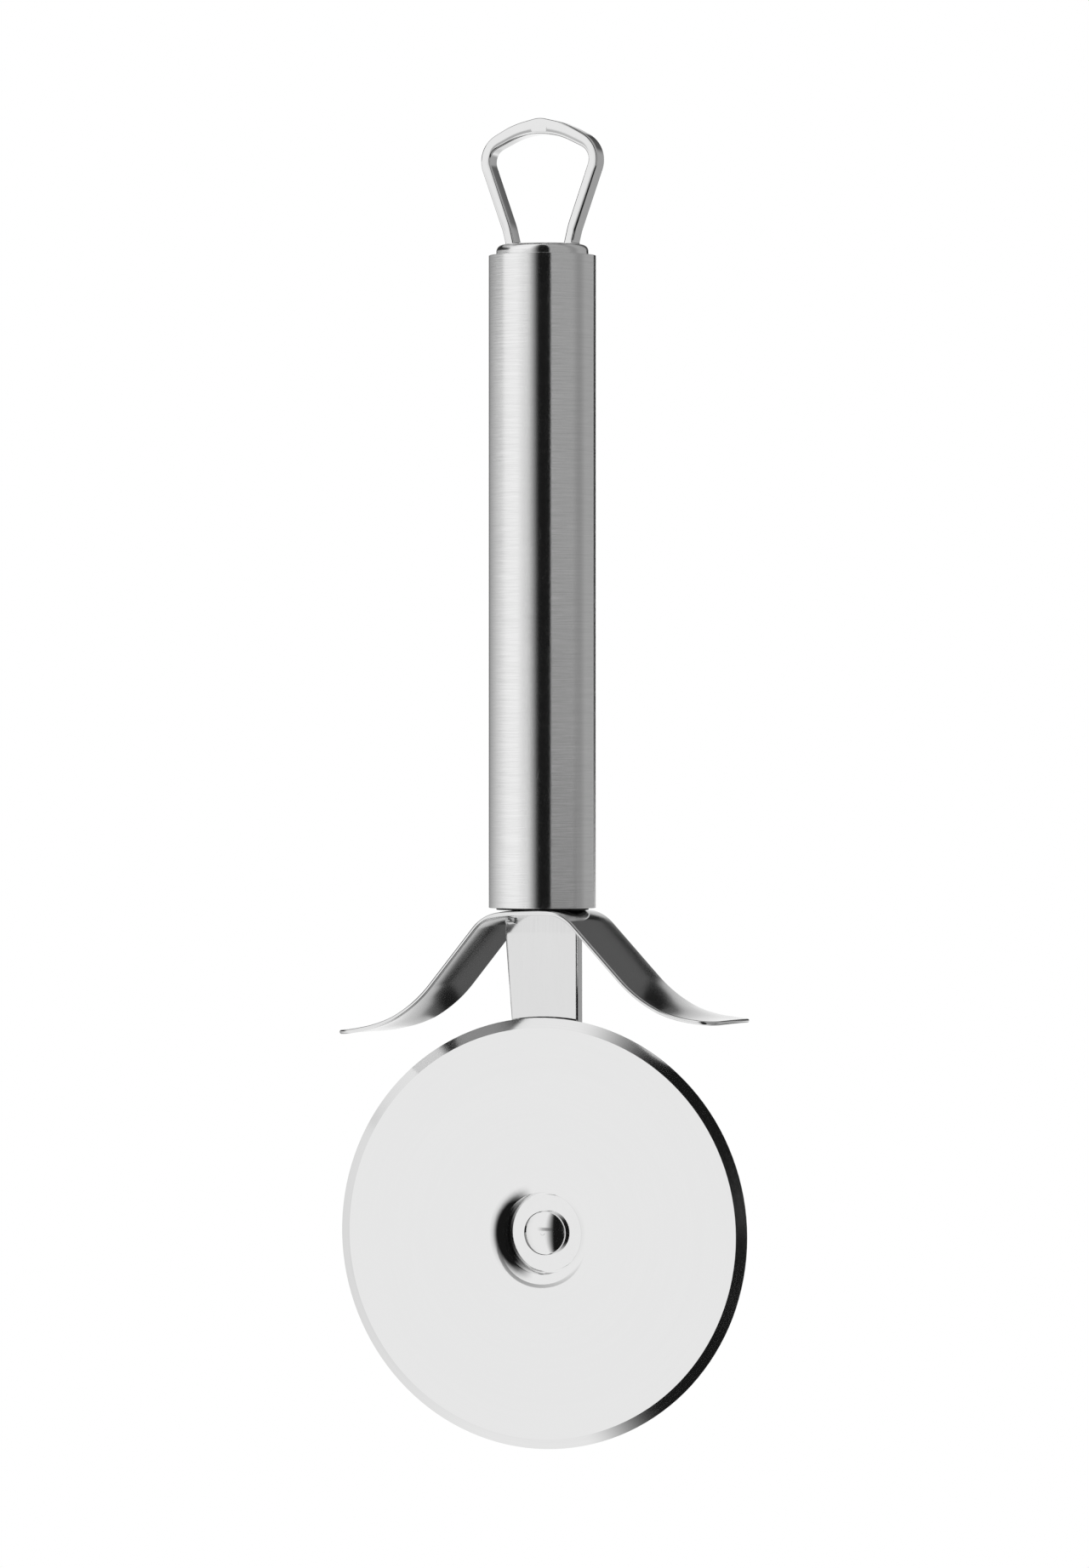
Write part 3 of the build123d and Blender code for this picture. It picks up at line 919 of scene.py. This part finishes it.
def hanging_loop(material):
    outer_line = rounded_line(both_halves(LOOP_OUTER), LOOP_SPACING, LOOP_SPACING)
    eye_line = rounded_line(both_halves(LOOP_EYE), LOOP_SPACING, LOOP_SPACING)
    length = numpy.hypot(*numpy.diff(outer_line, axis=0).T).sum()
    feet = numpy.array(WELD_STEPS) / length
    bar = numpy.linspace(feet[-1], 1 - feet[-1], LOOP_STATIONS)[1:-1]
    shares = numpy.concatenate((feet, bar, 1 - feet[::-1]))
    outer_points = spread_along(outer_line, shares)
    eye_points = spread_along(eye_line, shares)
    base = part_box("top_cap")[1][2]
    shape = bmesh.new()
    rings = []
    for outer, eye in zip(outer_points, eye_points):
        rise = min(outer[1], WELD_FILLET) / WELD_FILLET
        spread = WELD_FILLET * (1 - math.sqrt(1 - (1 - rise) ** 2))
        section = loop_section(outer, eye, spread)
        rings.append([shape.verts.new((x * MM, y * MM, base + z * MM)) for x, y, z in section])
    join_rings(shape, rings)
    shape.faces.new(rings[0])
    shape.faces.new(rings[-1])
    piece = new_piece("loop_casting", shape, material, "holder")
    keep_flats_flat(piece)
    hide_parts("hanging_loop")


hanging_loop(loop_steel)

# %% [markdown]
# The finger guard is one strip of sheet, bent four times and slightly crowned across its width by the
# press. The crown is why its polish shows light along one edge and dark along the other. It is weaker
# where the sheet is clamped under the handle, and runs out towards the tips. The strip is built as a grid:
# its height comes from the bent line, and each row across sags by the crown. Rings of points then carry
# the grid round the cut edge, which tumbling has made fully round.

# %% Finger guard: the bent line
GUARD_HALF_LENGTH = 34.4
GUARD_CREST_HALF = 7.15
GUARD_CREST_ROUND = 6.6
GUARD_SLOPE = math.radians(49.0)
GUARD_FOOT_HALF = 24.0
GUARD_TILT = math.radians(1.85)
GUARD_OVERRUN = 2.0
GUARD_SPACING = 0.05


def guard_line():
    """The right half of the sheet's upper side, seen from the front, from the middle to past the tip."""
    foot = -(GUARD_FOOT_HALF - GUARD_CREST_HALF) * math.tan(GUARD_SLOPE)
    foot_round = (GUARD_HALF_LENGTH - GUARD_FOOT_HALF) / math.tan(GUARD_SLOPE / 2)
    return rounded_line([
        (0, 0, 0), (GUARD_CREST_HALF, 0, GUARD_CREST_ROUND), (GUARD_FOOT_HALF, foot, foot_round),
        (GUARD_HALF_LENGTH + GUARD_OVERRUN, foot, 0),
    ], GUARD_SPACING, GUARD_SPACING)


guard_bend = guard_line()
guard_slopes = numpy.arctan2(-numpy.gradient(guard_bend[:, 1]), numpy.gradient(guard_bend[:, 0]))
crest_flat = GUARD_CREST_HALF - GUARD_CREST_ROUND * math.tan(GUARD_SLOPE / 2)
crest_rise = crest_flat * math.sin(GUARD_TILT) + GUARD_CREST_ROUND * (1 - math.cos(GUARD_TILT))
guard_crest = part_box("bottom_cap")[0][2] / MM - crest_rise
print(f"crest at {guard_crest:.2f} mm, steepest {math.degrees(guard_slopes.max()):.0f} degrees")

# %% [markdown]
# Seen from above, the blank is a strip with bulged ends and rounded corners. A point of the strip goes to
# its place in two steps: the bent line gives its height, and then the whole saddle is turned by its tilt.
# GUARD_CROWN is how strongly the sheet curves from front to back, one over the radius. Its shares say how
# much of that is left at each distance from the middle.

# %% Finger guard: a point of the sheet
GUARD_HALF_WIDTH = 10.1
GUARD_OFFSET = 0.4
GUARD_BULGE = 0.4
GUARD_CORNER = 3.0
GUARD_CROWN = 0.010
GUARD_CROWN_PLACES = (3.0, 9.0, 24.0, 30.0)
GUARD_CROWN_SHARES = (0.4, 1.0, 1.0, 0.2)


def guard_point(across, depth, down):
    """Where the sheet has a point, in metres: down is how far it lies under the upper side."""
    slope = numpy.interp(abs(across), guard_bend[:, 0], guard_slopes)
    height = numpy.interp(abs(across), guard_bend[:, 0], guard_bend[:, 1])
    crown = GUARD_CROWN * numpy.interp(abs(across), GUARD_CROWN_PLACES, GUARD_CROWN_SHARES)
    up = height - down * math.cos(slope) - crown * depth ** 2 / 2
    side = across - math.copysign(down * math.sin(slope), across)
    turned = complex(side, up) * cmath.rect(1, GUARD_TILT)
    return (turned.real * MM, depth * MM, (turned.imag + guard_crest) * MM)


def guard_reach(depth, inset):
    """Half the blank's length at a depth: a bulged end with rounded corners, shrunk all round by inset."""
    corner = GUARD_CORNER - inset
    into_corner = abs(depth) - (GUARD_HALF_WIDTH - GUARD_CORNER)
    bulge = GUARD_BULGE * (1 - (depth / GUARD_HALF_WIDTH) ** 2)
    rounding = corner - math.sqrt(max(corner ** 2 - into_corner ** 2, 0)) if into_corner > 0 else 0
    return GUARD_HALF_LENGTH - GUARD_BULGE - inset + bulge - rounding


middle_reach = guard_reach(0, 0)
side_reach = guard_reach(GUARD_HALF_WIDTH, 0)
print(f"guard reaches {middle_reach:.1f} mm in the middle and {side_reach:.1f} mm at its side")

# %% [markdown]
# The same grid serves the upper and the lower side of the sheet. Its rows lie closer together in the
# rounded corners, and it ends where the round edge begins. The slot in the guard's middle is left out
# here, because the neck fills it and the tube covers it.

# %% Finger guard: the grid
GUARD_EDGE = 0.34
GUARD_COLUMNS = 240
GUARD_MIDDLE_ROWS = 24
GUARD_CORNER_ROWS = 9


def guard_rows():
    """Depths of the rows: even in the middle, and closer and closer in the rounded corners."""
    straight = GUARD_HALF_WIDTH - GUARD_CORNER
    corner = GUARD_CORNER - GUARD_EDGE
    turns = numpy.linspace(0, math.pi / 2, GUARD_CORNER_ROWS + 1)[1:]
    outer = straight + corner * numpy.sin(turns)
    middle = numpy.linspace(-straight, straight, GUARD_MIDDLE_ROWS + 1)
    return numpy.concatenate((-outer[::-1], middle, outer))


def guard_plan():
    """The grid in the flat, row by row, as (across, depth) points."""
    kept = guard_bend[guard_bend[:, 0] <= GUARD_HALF_LENGTH]
    places = spread_along(kept, numpy.linspace(0, 1, GUARD_COLUMNS // 2 + 1))[:, 0]
    half = places / places[-1]
    columns = numpy.concatenate((-half[:0:-1], half))
    return [
        [(share * guard_reach(depth, GUARD_EDGE) - GUARD_OFFSET, depth) for share in columns]
        for depth in guard_rows()
    ]


guard_grid = guard_plan()
print(f"guard grid: {len(guard_grid)} rows of {len(guard_grid[0])} points")

# %% [markdown]
# Tumbling has made the cut edge fully round. The grid's rim is carried round it ring by ring: each ring
# lies a little farther out and a little farther down than the one before, then comes in again below.

# %% Finger guard: the round edge
GUARD_SHEET = 0.7
GUARD_EDGE_RINGS = 7


def guard_rim(plan):
    """The grid's outermost points, once round, and the directions that point out of the blank there."""
    right_end = [row[-1] for row in plan[1:-1]]
    left_end = [row[0] for row in plan[-2:0:-1]]
    rim = numpy.array(plan[0] + right_end + plan[-1][::-1] + left_end)
    along = numpy.roll(rim, -1, axis=0) - numpy.roll(rim, 1, axis=0)
    outward = numpy.stack((along[:, 1], -along[:, 0]), axis=1)
    return rim, outward / numpy.linalg.norm(outward, axis=1)[:, None]


def edge_profile():
    """The round edge, from the upper side to the lower one, as (out, down) steps from the rim."""
    turns = numpy.linspace(0, math.pi / 2, GUARD_EDGE_RINGS)
    upper = [(GUARD_EDGE * math.sin(turn), GUARD_EDGE * (1 - math.cos(turn))) for turn in turns]
    return upper + [(out, GUARD_SHEET - down) for out, down in reversed(upper)]


# %% Finger guard
def finger_guard(plan, material):
    shape = bmesh.new()
    for down in (0, GUARD_SHEET):
        sheet = [[shape.verts.new(guard_point(across, depth, down)) for across, depth in row] for row in plan]
        for row, following in zip(sheet, sheet[1:]):
            for number in range(len(row) - 1):
                shape.faces.new((row[number], row[number + 1], following[number + 1], following[number]))
    rim, outward = guard_rim(plan)
    rings = []
    for out, down in edge_profile():
        places = rim + outward * out
        rings.append([shape.verts.new(guard_point(across, depth, down)) for across, depth in places])
    join_rings(shape, rings)
    bmesh.ops.remove_doubles(shape, verts=shape.verts, dist=MERGE_DISTANCE)
    piece = new_piece("guard_sheet", shape, material, "holder")
    keep_flats_flat(piece)
    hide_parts("finger_guard")


finger_guard(guard_grid, guard_steel)

# %% [markdown]
# A spot of weld holds the guard to the neck, high up on the left of the neck's face. It is a small frozen
# puddle with a dimple in its middle, so it is a flattened ball whose points are pushed about by two slow
# waves. The dimple is a bell curve, on the side that faces the front. Both are measured in radii of the
# ball, before it is flattened. The spot's own place is found from the neck's left edge and front, and from
# the lower cap above it.

# %% Weld spot
WELD_INSET = 1.175
WELD_OUT = 0.05
WELD_DROP = 2.107
WELD_SIZE = Vector((1.1, 0.42, 0.62))
WELD_BALL_STEPS = 4
BROAD_LUMP = 0.10
BROAD_ACROSS = 5.1
BROAD_UP = 4.3
BROAD_START = 1.3
SMALL_LUMP = 0.06
SMALL_ACROSS = 2.1
SMALL_UP = 9.7
WELD_DIMPLE = 0.45
DIMPLE_PLACE = (0.1, 0.15)
DIMPLE_NARROWNESS = 7.0

neck_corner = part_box("neck")[0]
weld_place = Vector((
    neck_corner[0] / MM + WELD_INSET,
    neck_corner[1] / MM - WELD_OUT,
    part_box("bottom_cap")[0][2] / MM - WELD_DROP,
))


def weld_dimple(x, z):
    """How deep the dimple is at a place on the ball."""
    away = (x - DIMPLE_PLACE[0]) ** 2 + (z - DIMPLE_PLACE[1]) ** 2
    return WELD_DIMPLE * math.exp(-DIMPLE_NARROWNESS * away)


def weld_spot(material):
    shape = bmesh.new()
    bmesh.ops.create_icosphere(shape, subdivisions=WELD_BALL_STEPS, radius=1.0)
    for corner in shape.verts:
        x, y, z = corner.co
        broad = BROAD_LUMP * math.sin(BROAD_ACROSS * x + BROAD_START) * math.cos(BROAD_UP * z)
        small = SMALL_LUMP * math.sin(SMALL_UP * z + SMALL_ACROSS * x)
        lumpy = corner.co * (1 + broad + small)
        if y < 0:
            lumpy.y += weld_dimple(x, z)
        corner.co = (weld_place + lumpy * WELD_SIZE) * MM
    new_piece("weld_spot", shape, material, "holder")


weld_steel = polished_material("weld steel", (1500, 1500, 1500), rough=0.16, rough_lines=0.1, level=0.6)
weld_spot(weld_steel)
print(f"weld spot at {weld_place.x:.2f}, {weld_place.y:.2f}, {weld_place.z:.2f} mm")

# %% [markdown]
# Last, the script says that it is done.

# %% Finish
print("done")
